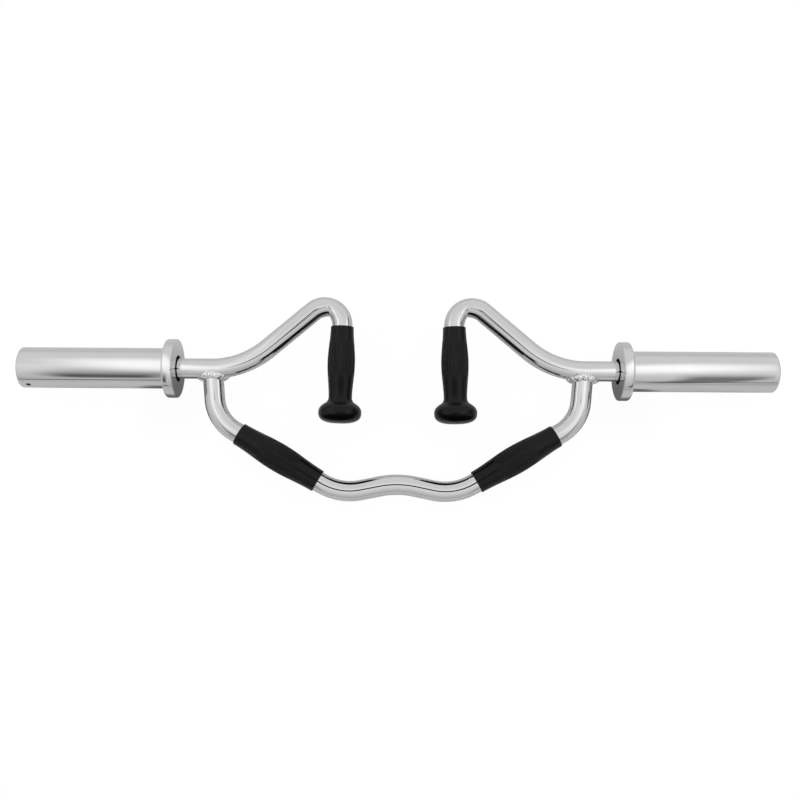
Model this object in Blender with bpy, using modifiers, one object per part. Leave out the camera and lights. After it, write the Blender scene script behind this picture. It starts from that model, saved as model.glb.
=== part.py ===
"""Triceps bar: a chromed steel bar with four moulded grips and two turning sleeves for weight plates.

The bar is modelled flat in its own XY plane, with X along the sleeves and Y up the handles, under
the empty bar_frame. That empty then lays it down as it rests, on its two collars and on the two
low bends of its curl bar, with the origin on the floor under the middle. Metres, +Z up.
"""

import math

import bmesh
import bpy
import numpy
from mathutils import Vector

# Round steel bar, and the clearance between pieces that touch or slide
BAR_DIAMETER = 0.025
FIT = 0.0003

# Arms: out of the collars along the sleeves' axis, up a slope, over the top and down the handles.
# A setback is the distance of a corner from the collar's inner face
COLLAR_SPACING = 0.5436
ARM_CORNER_SETBACK = 0.0803
ARM_SLOPE = math.radians(40)
ARM_BEND_RADIUS = 0.110
TOP_BEND_RADIUS = 0.022
HANDLE_SPACING = 0.1409
HANDLE_LEAN = math.radians(1.15)

# Curl bar: down a leg from each arm, along a slope to a low bend, and over a hump in the middle
LEG_CORNER_SETBACK = 0.0481
LEG_CORNER_DROP = 0.0636
LEG_LEAN = math.radians(5)
LEG_BEND_RADIUS = 0.050
CURL_SLOPE = math.radians(30.5)
LOW_CORNER_SPACING = 0.1416
LOW_BEND_RADIUS = 0.070
HUMP_SLOPE = math.radians(11.5)
HUMP_BEND_RADIUS = 0.110

# Weld beads where the legs meet the arms: the bead's radius at its toes, under the arm, and at its
# cheeks, beside it, and how far its middle lies outside and inside the leg's surface there
WELD_TOE_RADIUS = 0.0038
WELD_CHEEK_RADIUS = 0.0056
WELD_TOE_OFFSET = 0.0018
WELD_CHEEK_INSET = 0.0021

# Handle grips: places are counted down from the mouth, and walls are the rubber around the bar
HANDLE_GRIP_HEIGHT = 0.0536
HANDLE_GRIP_LENGTH = 0.1203
HANDLE_MOUTH_WALL = 0.0011
HANDLE_BELLY_PLACE = 0.0435
HANDLE_BELLY_WALL = 0.0039
HANDLE_NECK_PLACE = 0.090
HANDLE_NECK_WALL = 0.0013
KNOB_PLACE = 0.1066
KNOB_DIAMETER = 0.0526
KNOB_RISE = 0.0157
KNOB_FILLET = 0.006
KNOB_SOLE = 0.009

# Curl grips: a sleeve of rubber on each slope, fattest in the middle
CURL_GRIP_LENGTH = 0.114
CURL_GRIP_SETBACK = 0.004
CURL_GRIP_MOUTH_WALL = 0.0015
CURL_GRIP_BELLY_WALL = 0.0047
GRIP_EDGE = 0.0009

# Turning sleeves and their collars
SLEEVE_DIAMETER = 0.050
SLEEVE_WALL = 0.004
SLEEVE_LOADABLE = 0.1786
SLEEVE_EDGE = 0.0018
COLLAR_DIAMETER = 0.0727
COLLAR_THICKNESS = 0.0129
COLLAR_WEB = 0.0045
COLLAR_INNER_EDGE = 0.0010
COLLAR_OUTER_EDGE = 0.0025

# Bush between the bar and the collar, let in a little below the collar's face
BUSH_DIAMETER = 0.0322
BUSH_LENGTH = 0.010
BUSH_RECESS = 0.0002
BUSH_EDGE = 0.0004

# Spigot that the sleeve turns on, and its two bearings
SHOULDER_DEPTH = 0.022
SPIGOT_DIAMETER = 0.020
SPIGOT_EDGE = 0.0010
BEARING_LENGTH = 0.025

# Bolt and washer on the end of the spigot
WASHER_DIAMETER = 0.036
WASHER_THICKNESS = 0.004
BOLT_DIAMETER = 0.012
BOLT_LENGTH = 0.030
BOLT_HEAD_FLATS = 0.019
BOLT_HEAD_HEIGHT = 0.0075
BOLT_HEAD_ROOM = 0.002

# Plug in the sleeve's end, held by a slotted spring pin
PLUG_LENGTH = 0.020
PLUG_RECESS = 0.0010
PLUG_EDGE = 0.0010
PIN_DIAMETER = 0.005
PIN_WALL = 0.0010
PIN_SLOT = 0.0012
PIN_LENGTH = 0.018
PIN_RECESS = 0.0015
PIN_FROM_END = 0.0114
PIN_TURN = {"left": math.radians(62), "right": math.radians(205)}

# Fineness of the round shapes
BAR_RINGS = 8
BEAD_RINGS = 3
BEAD_POINTS = 28
SLEEVE_SIDES = 40
GRIP_SIDES = 26
SMALL_SIDES = 24
PIN_SIDES = 12
EDGE_STEPS = 2
OUTLINE_STEP = 0.010
KNOB_STEPS = 8
BEND_STEP = math.radians(10)
SHARP_ANGLE = math.radians(35)
MERGE = 0.00001

# Finishes: colour, metallic and roughness
CHROME = ((0.78, 0.79, 0.80), 1.0, 0.12)
BRONZE = ((0.62, 0.44, 0.22), 1.0, 0.35)
ZINC = ((0.62, 0.63, 0.62), 1.0, 0.35)
SPRING_STEEL = ((0.10, 0.10, 0.11), 0.9, 0.40)
RUBBER = ((0.012, 0.012, 0.013), 0.0, 0.55)
NYLON = ((0.010, 0.010, 0.010), 0.0, 0.45)

SIDES = {"left": -1, "right": 1}
BAR_RADIUS = BAR_DIAMETER / 2
BAR_ROOM = BAR_RADIUS + FIT

# Places along the sleeve's axis, counted from the middle of the bar
COLLAR_IN = COLLAR_SPACING / 2
COLLAR_OUT = COLLAR_IN + COLLAR_THICKNESS
SLEEVE_END = COLLAR_OUT + SLEEVE_LOADABLE
SHOULDER = COLLAR_IN + SHOULDER_DEPTH
PLUG_OUT = SLEEVE_END - PLUG_RECESS
PLUG_IN = PLUG_OUT - PLUG_LENGTH
BOLT_SEAT = PLUG_IN - BOLT_HEAD_ROOM - BOLT_HEAD_HEIGHT
WASHER_OUT = BOLT_SEAT - FIT
WASHER_IN = WASHER_OUT - WASHER_THICKNESS
SPIGOT_END = WASHER_IN - FIT


def clear_scene():
    for thing in list(bpy.data.objects):
        bpy.data.objects.remove(thing)


def new_collection(name):
    collection = bpy.data.collections.new(name)
    bpy.context.scene.collection.children.link(collection)
    return collection


def new_empty(name, collection, parent=None):
    empty = bpy.data.objects.new(name, None)
    empty.empty_display_size = BAR_DIAMETER
    empty.parent = parent
    collection.objects.link(empty)
    return empty


def baked_mesh(thing):
    """The mesh of an object as its curve settings and modifiers leave it."""
    bpy.context.view_layer.update()
    graph = bpy.context.evaluated_depsgraph_get()
    return bpy.data.meshes.new_from_object(thing.evaluated_get(graph))


def put(thing, parent, place=(0, 0, 0), direction=(0, 0, 1)):
    """Hangs a piece on its parent, with its own Z along the direction."""
    thing.parent = parent
    thing.location = place
    thing.rotation_mode = "QUATERNION"
    thing.rotation_quaternion = Vector((0, 0, 1)).rotation_difference(Vector(direction))


def finish(piece, look):
    """Gives a piece its own material."""
    colour, metallic, roughness = look
    material = bpy.data.materials.new(piece.name)
    material.use_nodes = True
    shader = material.node_tree.nodes["Principled BSDF"]
    shader.inputs["Base Color"].default_value = (*colour, 1)
    shader.inputs["Metallic"].default_value = metallic
    shader.inputs["Roughness"].default_value = roughness
    piece.data.materials.clear()
    piece.data.materials.append(material)


def combine(piece, other, operation):
    step = piece.modifiers.new(operation.title(), "BOOLEAN")
    step.operation = operation
    step.solver = "EXACT"
    step.object = other


def as_cutter(thing):
    thing.hide_render = True
    thing.display_type = "WIRE"
    return thing


def settle(piece):
    """Applies a piece's modifiers and shades its round faces smooth."""
    mesh = baked_mesh(piece)
    piece.modifiers.clear()
    piece.data = mesh
    mesh.shade_smooth()
    mesh.set_sharp_from_angle(angle=SHARP_ANGLE)


def from_form(name, collection, form):
    """An object with the shape of a bmesh, which is used up."""
    mesh = bpy.data.meshes.new(name)
    form.to_mesh(mesh)
    form.free()
    piece = bpy.data.objects.new(name, mesh)
    collection.objects.link(piece)
    return piece


def turned(name, collection, outline, sides, ring=False):
    """A shape turned about Z from (radius, height) points that run down its outer side."""
    mesh = bpy.data.meshes.new(name)
    points = [(radius, 0, height) for radius, height in outline]
    edges = [(i, i + 1) for i in range(len(points) - 1)]
    if ring:
        edges.append((len(points) - 1, 0))
    mesh.from_pydata(points, edges, [])
    piece = bpy.data.objects.new(name, mesh)
    collection.objects.link(piece)
    screw = piece.modifiers.new("Turn", "SCREW")
    screw.steps = sides
    screw.render_steps = sides
    screw.use_merge_vertices = True
    screw.merge_threshold = MERGE
    piece.data = baked_mesh(piece)
    piece.modifiers.clear()
    return piece


def rounded_corner(radius, height, edge, top):
    """Points down an outer corner that is rounded off, at the top or the bottom of an outline."""
    if edge == 0:
        return [(radius, height)]
    points = []
    for step in range(EDGE_STEPS + 1):
        angle = math.pi / 2 * step / EDGE_STEPS
        across, along = (math.sin(angle), math.cos(angle)) if top else (math.cos(angle), -math.sin(angle))
        middle = height - edge if top else height + edge
        points.append((radius - edge + edge * across, middle + edge * along))
    return points


def ring_outline(radius, bore, low, high, low_edge=0, high_edge=0):
    """A tube, bush or washer about Z, with its outer edges rounded."""
    top = rounded_corner(radius, high, high_edge, top=True)
    bottom = rounded_corner(radius, low, low_edge, top=False)
    return [*top, *bottom, (bore, low), (bore, high)]


def round_bar(name, collection, route, diameter, rings, sizes=None):
    """A bar bent along a route. With sizes, a share of the diameter at each point, it closes on itself."""
    curve = bpy.data.curves.new(name, "CURVE")
    curve.dimensions = "3D"
    curve.bevel_depth = diameter / 2
    curve.bevel_resolution = rings
    curve.use_fill_caps = True
    spline = curve.splines.new("POLY")
    spline.use_cyclic_u = sizes is not None
    spline.points.add(len(route) - 1)
    for point, place, size in zip(spline.points, route, sizes or [1] * len(route)):
        point.co = (*Vector(place).to_3d(), 1)
        point.radius = size
    guide = bpy.data.objects.new(name + "_guide", curve)
    collection.objects.link(guide)
    form = bmesh.new()
    form.from_mesh(baked_mesh(guide))
    bmesh.ops.remove_doubles(form, verts=form.verts, dist=MERGE)
    bpy.data.objects.remove(guide)
    return from_form(name, collection, form)


def turned_by(vector, angle):
    """A flat vector turned to the left."""
    cosine, sine = math.cos(angle), math.sin(angle)
    return Vector((vector.x * cosine - vector.y * sine, vector.x * sine + vector.y * cosine))


def bent(corners, radii):
    """Points along a route whose inner corners are bent to the given radii."""
    points = [corners[0]]
    for before, corner, after, radius in zip(corners, corners[1:], corners[2:], radii):
        back = (before - corner).normalized()
        ahead = (after - corner).normalized()
        turn = math.pi - back.angle(ahead)
        side = math.copysign(1, ahead.cross(back))
        centre = corner + (back + ahead).normalized() * radius / math.cos(turn / 2)
        spoke = corner + back * radius * math.tan(turn / 2) - centre
        steps = math.ceil(turn / BEND_STEP)
        points += [centre + turned_by(spoke, side * turn * step / steps) for step in range(steps + 1)]
    return [*points, corners[-1]]


def meeting(start, direction, other_start, other_direction):
    """Where two flat lines cross."""
    share = (other_start - start).cross(other_direction) / direction.cross(other_direction)
    return start + direction * share


def crossing(route, start, direction):
    """Where a line first crosses a route, and the route's direction there."""
    for before, after in zip(route, route[1:]):
        place = meeting(start, direction, before, after - before)
        if (place - before).dot(place - after) <= 0:
            return place, (after - before).normalized()
    raise ValueError("the leg misses the arm")


def handle_down():
    """The direction down the right handle."""
    return Vector((math.sin(HANDLE_LEAN), -math.cos(HANDLE_LEAN)))


def handle_mouth():
    """The middle of the right handle grip's upper end."""
    return meeting(
        Vector((HANDLE_SPACING / 2, 0)), handle_down(), Vector((0, HANDLE_GRIP_HEIGHT)), Vector((1, 0))
    )


def arm_route():
    """The right arm, from its shoulder in the sleeve to its end in the handle grip."""
    first = Vector((COLLAR_IN - ARM_CORNER_SETBACK, 0))
    slope = Vector((-math.cos(ARM_SLOPE), math.sin(ARM_SLOPE)))
    top = meeting(first, slope, handle_mouth(), handle_down())
    end = handle_mouth() + handle_down() * (HANDLE_GRIP_LENGTH - KNOB_SOLE)
    return bent([Vector((SHOULDER, 0)), first, top, end], [ARM_BEND_RADIUS, TOP_BEND_RADIUS])


def leg_corner():
    return Vector((COLLAR_IN - LEG_CORNER_SETBACK, -LEG_CORNER_DROP))


def low_corner():
    run = leg_corner().x - LOW_CORNER_SPACING / 2
    return leg_corner() - Vector((run, run * math.tan(CURL_SLOPE)))


def leg_up():
    return Vector((math.sin(LEG_LEAN), math.cos(LEG_LEAN)))


def curl_route():
    """The whole curl bar, from the left arm's middle line to the right arm's."""
    joint, _ = crossing(arm_route(), leg_corner(), leg_up())
    hump = Vector((0, low_corner().y + low_corner().x * math.tan(HUMP_SLOPE)))
    right = [low_corner(), leg_corner(), joint]
    left = [Vector((-point.x, point.y)) for point in reversed(right)]
    bends = [LOW_BEND_RADIUS, LEG_BEND_RADIUS]
    return bent([*left, hump, *right], [*reversed(bends), HUMP_BEND_RADIUS, *bends])


def mirrored(route, side):
    return [Vector((point.x * side, point.y)) for point in route]


def spigot_outline():
    """The turned-down end of an arm, with a blind hole for the bolt. Its root is sunk in the full bar."""
    hole = BOLT_DIAMETER / 2 + FIT
    hole_floor = BOLT_SEAT - BOLT_LENGTH - FIT
    radius = SPIGOT_DIAMETER / 2
    end = rounded_corner(radius, SPIGOT_END, SPIGOT_EDGE, top=True)
    root = SHOULDER - SHOULDER_DEPTH / 2
    return [(0, hole_floor), (hole, hole_floor), (hole, SPIGOT_END), *end, (radius, root), (0, root)]


def make_arm(name, side, parts, cutters, frame):
    arm = round_bar(f"{name}_arm", parts, mirrored(arm_route(), side), BAR_DIAMETER, BAR_RINGS)
    put(arm, frame)
    spigot = as_cutter(turned(f"{name}_spigot", cutters, spigot_outline(), SMALL_SIDES))
    put(spigot, frame, direction=(side, 0, 0))
    combine(arm, spigot, "UNION")
    finish(arm, CHROME)


def room_around(name, route, cutters, frame):
    """The space that a bar takes up with its clearance, to cut from what meets it."""
    room = as_cutter(round_bar(name, cutters, route, 2 * BAR_ROOM, BAR_RINGS))
    put(room, frame)
    return room


def weld_route(side):
    """A closed line around a leg where its surface meets the arm's, and the bead's size at each point."""
    joint, along = crossing(arm_route(), leg_corner(), leg_up())
    up = leg_up()
    across = Vector((up.y, -up.x))
    normal = Vector((-along.y, along.x))
    if normal.dot(up) > 0:
        normal = -normal
    route = []
    sizes = []
    for step in range(BEAD_POINTS):
        angle = math.tau * step / BEAD_POINTS
        sideways = (BAR_RADIUS + WELD_TOE_OFFSET) * math.cos(angle)
        height = (BAR_RADIUS - WELD_CHEEK_INSET) * math.sin(angle)
        drop = math.sqrt(BAR_ROOM**2 - height**2) - sideways * across.dot(normal)
        place = joint + across * sideways + up * drop / up.dot(normal)
        route.append((place.x * side, place.y, height))
        radius = WELD_TOE_RADIUS * math.cos(angle) ** 2 + WELD_CHEEK_RADIUS * math.sin(angle) ** 2
        sizes.append(radius / WELD_TOE_RADIUS)
    return route, sizes


def make_curl_bar(parts, cutters, frame):
    """The curl bar, with its ends coped to the arms, and the weld beads that hold it."""
    curl_bar = round_bar("curl_bar", parts, curl_route(), BAR_DIAMETER, BAR_RINGS)
    put(curl_bar, frame)
    finish(curl_bar, CHROME)
    curl_room = room_around("curl_bar_room", curl_route(), cutters, frame)
    for name, side in SIDES.items():
        arm_room = room_around(f"{name}_arm_room", mirrored(arm_route(), side), cutters, frame)
        combine(curl_bar, arm_room, "DIFFERENCE")
        route, sizes = weld_route(side)
        weld = round_bar(f"{name}_weld", parts, route, 2 * WELD_TOE_RADIUS, BEAD_RINGS, sizes)
        put(weld, frame)
        combine(weld, arm_room, "DIFFERENCE")
        combine(weld, curl_room, "DIFFERENCE")
        finish(weld, CHROME)


def eased(share):
    """0 to 1 with a level start and end."""
    return (1 - math.cos(math.pi * share)) / 2


def between(start, end, step):
    """Places from start to end, no further apart than the step."""
    count = math.ceil(abs(end - start) / step)
    return [start + (end - start) * i / count for i in range(count + 1)]


def belly(place, low_wall, high_wall, length):
    return BAR_ROOM + low_wall + (high_wall - low_wall) * eased(place / length)


def handle_radius(place):
    """The handle grip's outer radius at a place below its mouth."""
    if place < HANDLE_BELLY_PLACE:
        shaft = belly(place, HANDLE_MOUTH_WALL, HANDLE_BELLY_WALL, HANDLE_BELLY_PLACE)
    else:
        rest = min(HANDLE_NECK_PLACE, place) - HANDLE_BELLY_PLACE
        taper = HANDLE_NECK_PLACE - HANDLE_BELLY_PLACE
        shaft = belly(rest, HANDLE_BELLY_WALL, HANDLE_NECK_WALL, taper)
    reach = KNOB_RISE if place < KNOB_PLACE else HANDLE_GRIP_LENGTH - KNOB_PLACE
    knob = KNOB_DIAMETER / 2 * math.sqrt(max(0, 1 - ((place - KNOB_PLACE) / reach) ** 2))
    if place > KNOB_PLACE:
        return knob
    overlap = max(0, KNOB_FILLET - abs(shaft - knob))
    return max(shaft, knob) + overlap**2 / (4 * KNOB_FILLET)


def mouth_edge(wall):
    """How far a grip's mouth is rounded, which leaves half its wall."""
    return min(GRIP_EDGE, wall / 2)


def handle_grip_outline():
    """Down the outside to the knob's sole, and back up the blind bore."""
    mouth = BAR_ROOM + HANDLE_MOUTH_WALL
    edge = mouth_edge(HANDLE_MOUTH_WALL)
    places = between(edge, KNOB_PLACE - KNOB_RISE - KNOB_FILLET, OUTLINE_STEP)[1:]
    for step in range(KNOB_STEPS + 1):
        places.append(KNOB_PLACE - (KNOB_RISE + KNOB_FILLET) * math.cos(math.pi / 2 * step / KNOB_STEPS))
    for step in range(1, KNOB_STEPS):
        sweep = math.sin(math.pi / 2 * step / KNOB_STEPS)
        places.append(KNOB_PLACE + (HANDLE_GRIP_LENGTH - KNOB_PLACE) * sweep)
    outside = [(handle_radius(place), -place) for place in places]
    floor = -(HANDLE_GRIP_LENGTH - KNOB_SOLE + FIT)
    corner = rounded_corner(mouth, 0, edge, top=True)
    bore = [(BAR_ROOM, 0), *corner]
    return [(0, floor), (BAR_ROOM, floor), *bore, *outside, (0, -HANDLE_GRIP_LENGTH)]


def make_handle_grip(name, side, parts, frame):
    grip = turned(f"{name}_handle_grip", parts, handle_grip_outline(), GRIP_SIDES)
    mouth = handle_mouth()
    up = -handle_down()
    put(grip, frame, (mouth.x * side, mouth.y, 0), (up.x * side, up.y, 0))
    finish(grip, RUBBER)


def curl_grip_outline():
    half = CURL_GRIP_LENGTH / 2
    mouth = BAR_ROOM + CURL_GRIP_MOUTH_WALL
    edge = mouth_edge(CURL_GRIP_MOUTH_WALL)
    heights = between(half - edge, edge - half, OUTLINE_STEP)[1:-1]
    outside = []
    for height in heights:
        share = 1 - abs(height) / half
        outside.append((belly(share, CURL_GRIP_MOUTH_WALL, CURL_GRIP_BELLY_WALL, 1), height))
    top = rounded_corner(mouth, half, edge, top=True)
    bottom = rounded_corner(mouth, -half, edge, top=False)
    return [*top, *outside, *bottom, (BAR_ROOM, -half), (BAR_ROOM, half)]


def make_curl_grip(name, side, parts, frame):
    grip = turned(f"{name}_curl_grip", parts, curl_grip_outline(), GRIP_SIDES, ring=True)
    along = Vector((math.cos(CURL_SLOPE), math.sin(CURL_SLOPE)))
    bend_end = LOW_BEND_RADIUS * math.tan((CURL_SLOPE + HUMP_SLOPE) / 2)
    middle = low_corner() + along * (bend_end + CURL_GRIP_SETBACK + CURL_GRIP_LENGTH / 2)
    put(grip, frame, (middle.x * side, middle.y, 0), (along.x * side, along.y, 0))
    finish(grip, RUBBER)


def collar_outline():
    """A disc with a bore for the bush, and a counterbore that the sleeve's end is let into."""
    radius = COLLAR_DIAMETER / 2
    bore = BUSH_DIAMETER / 2 + FIT
    seat = SLEEVE_DIAMETER / 2 + FIT
    web = COLLAR_IN + COLLAR_WEB
    outer_edge = rounded_corner(radius, COLLAR_OUT, COLLAR_OUTER_EDGE, top=True)
    inner_edge = rounded_corner(radius, COLLAR_IN, COLLAR_INNER_EDGE, top=False)
    return [*outer_edge, *inner_edge, (bore, COLLAR_IN), (bore, web), (seat, web), (seat, COLLAR_OUT)]


def bush_outline():
    """A bush in the collar's bore, with the edge of its face rounded."""
    face = COLLAR_IN + BUSH_RECESS
    return ring_outline(BUSH_DIAMETER / 2, BAR_ROOM, face, face + BUSH_LENGTH, low_edge=BUSH_EDGE)


def plug_outline():
    radius = SLEEVE_DIAMETER / 2 - SLEEVE_WALL - FIT
    edge = rounded_corner(radius, PLUG_OUT, PLUG_EDGE, top=True)
    return [(0, PLUG_OUT), *edge, (radius, PLUG_IN), (0, PLUG_IN)]


def bearing_outline(start):
    bore = SPIGOT_DIAMETER / 2 + FIT
    radius = SLEEVE_DIAMETER / 2 - SLEEVE_WALL - FIT
    return ring_outline(radius, bore, start, start + BEARING_LENGTH)


def make_end_bolt(name, direction, parts, cutters, frame):
    """A hexagon bolt down the spigot, with its head on the washer."""
    shank_radius = BOLT_DIAMETER / 2
    head_top = BOLT_SEAT + BOLT_HEAD_HEIGHT
    root = (BOLT_SEAT + head_top) / 2
    outline = [(0, root), (shank_radius, root), (shank_radius, BOLT_SEAT - BOLT_LENGTH)]
    bolt = turned(f"{name}_end_bolt", parts, [*outline, (0, BOLT_SEAT - BOLT_LENGTH)], SMALL_SIDES)
    put(bolt, frame, direction=direction)
    form = bmesh.new()
    radius = BOLT_HEAD_FLATS / 2 / math.cos(math.pi / 6)
    bmesh.ops.create_cone(
        form, cap_ends=True, segments=6, radius1=radius, radius2=radius, depth=BOLT_HEAD_HEIGHT
    )
    bmesh.ops.translate(form, verts=form.verts, vec=(0, 0, root))
    head = as_cutter(from_form(f"{name}_bolt_head", cutters, form))
    put(head, frame, direction=direction)
    combine(bolt, head, "UNION")
    finish(bolt, ZINC)


def make_pin(name, side, tube, plug, parts, cutters, sleeve):
    """A slotted spring pin down through the sleeve's wall into the plug, and the hole that it sits in."""
    turn = PIN_TURN[name]
    outward = Vector((0, -math.sin(turn), math.cos(turn)))
    foot = Vector((side * (SLEEVE_END - PIN_FROM_END), 0, 0))
    pin_top = SLEEVE_DIAMETER / 2 - PIN_RECESS
    pin_foot = pin_top - PIN_LENGTH
    radius = PIN_DIAMETER / 2
    pin_outline = ring_outline(radius, radius - PIN_WALL, pin_foot, pin_top)
    pin = turned(f"{name}_spring_pin", parts, pin_outline, PIN_SIDES, ring=True)
    put(pin, sleeve, foot, outward)
    finish(pin, SPRING_STEEL)
    form = bmesh.new()
    bmesh.ops.create_cube(form, size=1)
    bmesh.ops.scale(form, verts=form.verts, vec=(PIN_DIAMETER, PIN_SLOT, 2 * PIN_LENGTH))
    bmesh.ops.translate(form, verts=form.verts, vec=(radius, 0, pin_foot))
    slot = as_cutter(from_form(f"{name}_pin_slot", cutters, form))
    put(slot, sleeve, foot, outward)
    combine(pin, slot, "DIFFERENCE")
    hole_radius = radius + FIT
    hole_top = SLEEVE_DIAMETER / 2 + PIN_DIAMETER
    hole_foot = pin_foot - FIT
    outline = [(0, hole_top), (hole_radius, hole_top), (hole_radius, hole_foot), (0, hole_foot)]
    hole = as_cutter(turned(f"{name}_pin_hole", cutters, outline, PIN_SIDES))
    put(hole, sleeve, foot, outward)
    combine(tube, hole, "DIFFERENCE")
    combine(plug, hole, "DIFFERENCE")


def make_sleeve(name, side, parts, cutters, frame):
    """A sleeve with its collar, bush, bearings and plug, and the bolt that keeps it on the arm."""
    sleeve = new_empty(f"{name}_sleeve_axis", parts, frame)
    direction = (side, 0, 0)
    sleeve_radius = SLEEVE_DIAMETER / 2
    tube_start = COLLAR_IN + COLLAR_WEB + FIT
    tube_outline = ring_outline(
        sleeve_radius, sleeve_radius - SLEEVE_WALL, tube_start, SLEEVE_END, high_edge=SLEEVE_EDGE
    )
    turning = {
        "sleeve_tube": (tube_outline, SLEEVE_SIDES, CHROME),
        "collar": (collar_outline(), SLEEVE_SIDES, CHROME),
        "collar_bush": (bush_outline(), SMALL_SIDES, NYLON),
        "inner_bearing": (bearing_outline(SHOULDER + FIT), SMALL_SIDES, BRONZE),
        "outer_bearing": (bearing_outline(SPIGOT_END - BEARING_LENGTH), SMALL_SIDES, BRONZE),
    }
    made = {}
    for piece_name, (outline, sides, look) in turning.items():
        made[piece_name] = turned(f"{name}_{piece_name}", parts, outline, sides, ring=True)
        put(made[piece_name], sleeve, direction=direction)
        finish(made[piece_name], look)
    plug = turned(f"{name}_end_plug", parts, plug_outline(), SMALL_SIDES)
    put(plug, sleeve, direction=direction)
    finish(plug, CHROME)
    make_pin(name, side, made["sleeve_tube"], plug, parts, cutters, sleeve)
    washer_outline = ring_outline(WASHER_DIAMETER / 2, BOLT_DIAMETER / 2 + FIT, WASHER_IN, WASHER_OUT)
    washer = turned(f"{name}_thrust_washer", parts, washer_outline, SMALL_SIDES, ring=True)
    put(washer, frame, direction=direction)
    finish(washer, ZINC)
    make_end_bolt(name, direction, parts, cutters, frame)


def all_points(pieces):
    """The corners of the pieces, as rows of world coordinates."""
    bpy.context.view_layer.update()
    rows = [piece.matrix_world @ corner.co for piece in pieces for corner in piece.data.vertices]
    return numpy.array(rows)


def lay_down(frame, pieces):
    """Tilts the bar on its collars until its lowest corner meets the floor, and puts the origin under it."""
    collar_radius = COLLAR_DIAMETER / 2
    fixed = all_points([piece for piece in pieces if piece.parent == frame])
    reach = numpy.hypot(fixed[:, 1], fixed[:, 2])
    fixed = fixed[reach > collar_radius]
    reach = reach[reach > collar_radius]
    tilts = numpy.arctan2(fixed[:, 1], fixed[:, 2]) + numpy.arccos(-collar_radius / reach)
    frame.rotation_euler.x = tilts.min()
    points = all_points(pieces)
    low, high = points.min(axis=0), points.max(axis=0)
    frame.location = (-(low[0] + high[0]) / 2, -(low[1] + high[1]) / 2, -low[2])


def make_triceps_bar():
    clear_scene()
    parts = new_collection("triceps_bar")
    cutters = new_collection("cutters")
    frame = new_empty("bar_frame", parts)
    make_curl_bar(parts, cutters, frame)
    for name, side in SIDES.items():
        make_arm(name, side, parts, cutters, frame)
        make_handle_grip(name, side, parts, frame)
        make_curl_grip(name, side, parts, frame)
        make_sleeve(name, side, parts, cutters, frame)
    pieces = [thing for thing in parts.objects if thing.type == "MESH"]
    for piece in pieces:
        settle(piece)
    lay_down(frame, pieces)


make_triceps_bar()
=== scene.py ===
"""Triceps bar on a pale studio floor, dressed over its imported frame.

The bar is made flat in its own plane, with X along the sleeves and Y up the handles, one side of it
at a time. Each piece is then mirrored to its side and laid down as the bar rests. Metres, +Z up.
"""

import math

import bmesh
import bpy
from mathutils import Matrix, Vector, noise


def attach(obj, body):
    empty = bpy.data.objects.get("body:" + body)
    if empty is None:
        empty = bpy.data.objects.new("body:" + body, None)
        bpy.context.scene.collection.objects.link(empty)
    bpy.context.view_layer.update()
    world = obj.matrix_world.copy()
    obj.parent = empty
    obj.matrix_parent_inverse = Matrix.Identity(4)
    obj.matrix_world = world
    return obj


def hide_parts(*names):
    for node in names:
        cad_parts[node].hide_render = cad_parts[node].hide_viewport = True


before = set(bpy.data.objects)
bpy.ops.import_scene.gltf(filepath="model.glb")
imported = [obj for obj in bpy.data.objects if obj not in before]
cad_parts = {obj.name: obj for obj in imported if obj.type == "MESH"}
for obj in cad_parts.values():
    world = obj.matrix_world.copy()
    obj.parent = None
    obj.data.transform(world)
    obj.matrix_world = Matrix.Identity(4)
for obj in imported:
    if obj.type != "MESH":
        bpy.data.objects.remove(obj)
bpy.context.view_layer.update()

# Camera: it hangs over the bar and looks down, tipped a little, with a 40 mm lens.
CAMERA_PLACE = (0.00296, -0.21916, 1.10640)
CAMERA_TIP = 0.20009
CAMERA_ROLL = 0.00025
CAMERA_TURN = 0.00704
CAMERA_LENS = 39.99
SENSOR_WIDTH = 36
camera_data = bpy.data.cameras.new("camera")
camera_data.sensor_width = SENSOR_WIDTH
camera_data.lens = CAMERA_LENS
camera = bpy.data.objects.new("camera", camera_data)
bpy.context.scene.collection.objects.link(camera)
camera.matrix_world = (
    Matrix.Translation(CAMERA_PLACE)
    @ Matrix.Rotation(CAMERA_TIP, 4, "X")
    @ Matrix.Rotation(CAMERA_ROLL, 4, "Y")
    @ Matrix.Rotation(CAMERA_TURN, 4, "Z")
)
bpy.context.scene.camera = camera
bpy.context.scene.view_settings.view_transform = "Standard"

# Studio: a white room with a white floor. The room is darker towards the horizon than overhead, and
# a little lighter behind the bar. The camera sees room and floor white, and the chrome sees them as lit.
ROOM_HORIZON = 0.58
ROOM_OVERHEAD = 0.92
ROOM_BEHIND = 0.12
FLOOR_SIZE = 12
FLOOR_LEVEL = -0.0004
FLOOR_WHITE = 1.03
FLOOR_PAINT = (0.82, 0.82, 0.82, 1)
FLOOR_SHADOW = 0.06


def new_node(tree, kind, values=None, **settings):
    """A shader node with its settings and the values of its sockets."""
    node = tree.nodes.new(kind)
    for name, value in settings.items():
        setattr(node, name, value)
    for socket, value in (values or {}).items():
        node.inputs[socket].default_value = value
    return node


def wire(tree, *links):
    """Joins nodes. Each link is the first node, its output, the second node and its input."""
    for first, output, second, entry in links:
        tree.links.new(first.outputs[output], second.inputs[entry])


def new_material(name):
    """An empty material: its node tree, and its output."""
    material = bpy.data.materials.new(name)
    material.use_nodes = True
    material.node_tree.nodes.clear()
    return material, material.node_tree, new_node(material.node_tree, "ShaderNodeOutputMaterial")


def new_object(name, form):
    """An object made from a form, which is used up."""
    mesh = bpy.data.meshes.new(name)
    form.to_mesh(mesh)
    form.free()
    made = bpy.data.objects.new(name, mesh)
    bpy.context.scene.collection.objects.link(made)
    return made


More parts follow.
